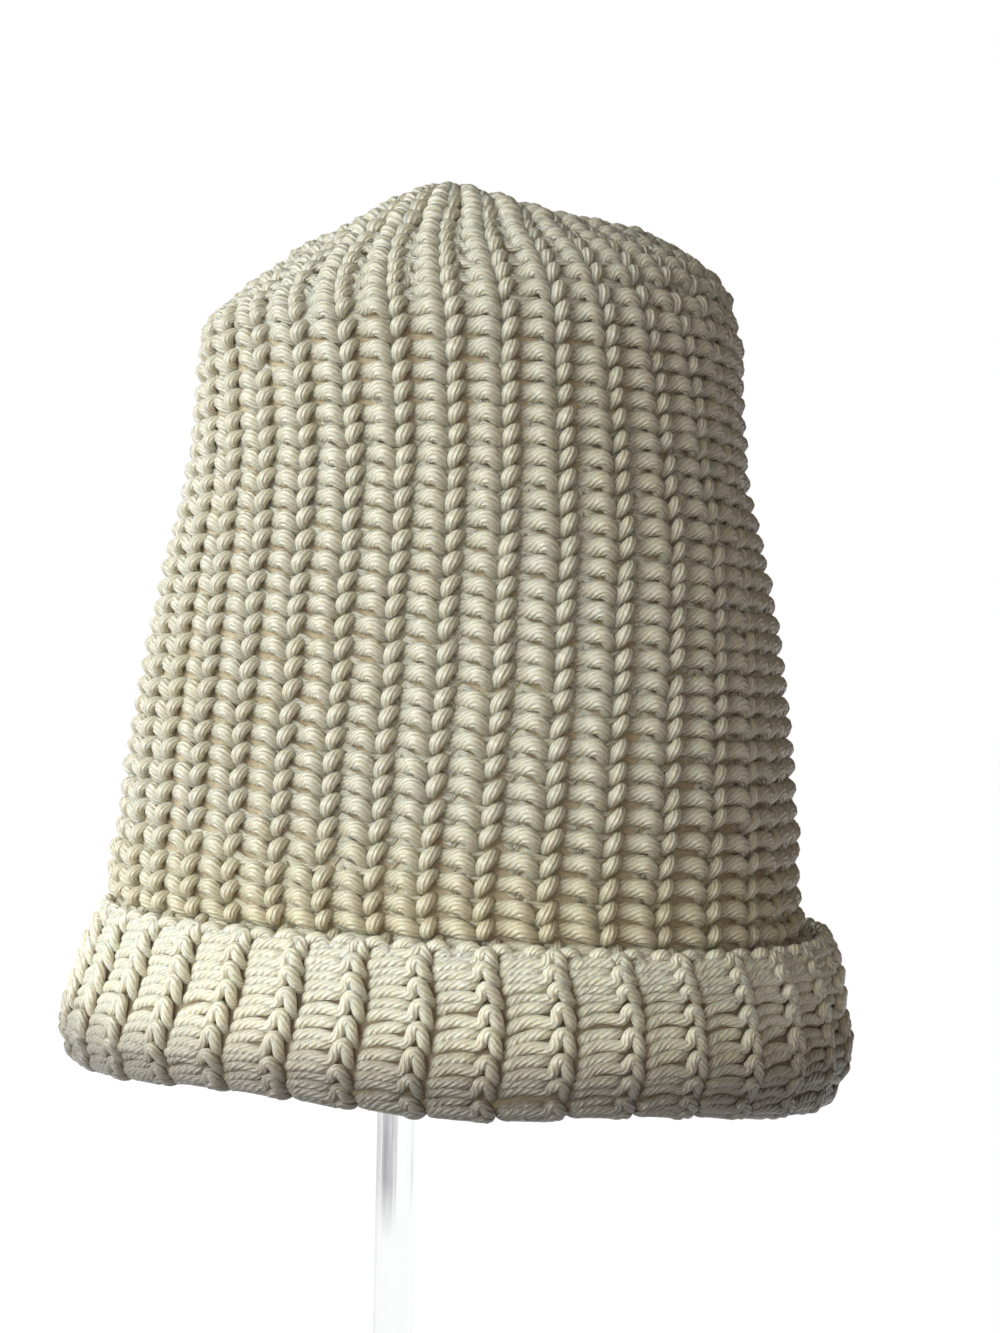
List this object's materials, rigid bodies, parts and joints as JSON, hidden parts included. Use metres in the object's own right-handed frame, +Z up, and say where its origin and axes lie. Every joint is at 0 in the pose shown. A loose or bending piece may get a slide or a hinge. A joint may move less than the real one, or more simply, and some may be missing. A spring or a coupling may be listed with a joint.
{
  "type": "knitted hat on a display stand",
  "caption": "Chunky ribbed knit cap with a turned-up cuff and a gathered top, held on a plain clear stand.",
  "frame": {"origin": "centre of the stand foot's underside, on the surface it stands on", "axes": "+Z up along the post, +X to the right as seen from the front, -Y to the front"},
  "size_m": [0.2088, 0.1654, 0.3522],
  "materials": {
    "cream_knit": "soft woollen knit",
    "clear_acrylic": "polished clear acrylic"
  },
  "bodies": {
    "root": {"crown": "cream_knit", "turned_up_cuff": "cream_knit", "stand_cap": "clear_acrylic", "stand_post": "clear_acrylic", "stand_foot": "clear_acrylic"}
  },
  "joints": []
}
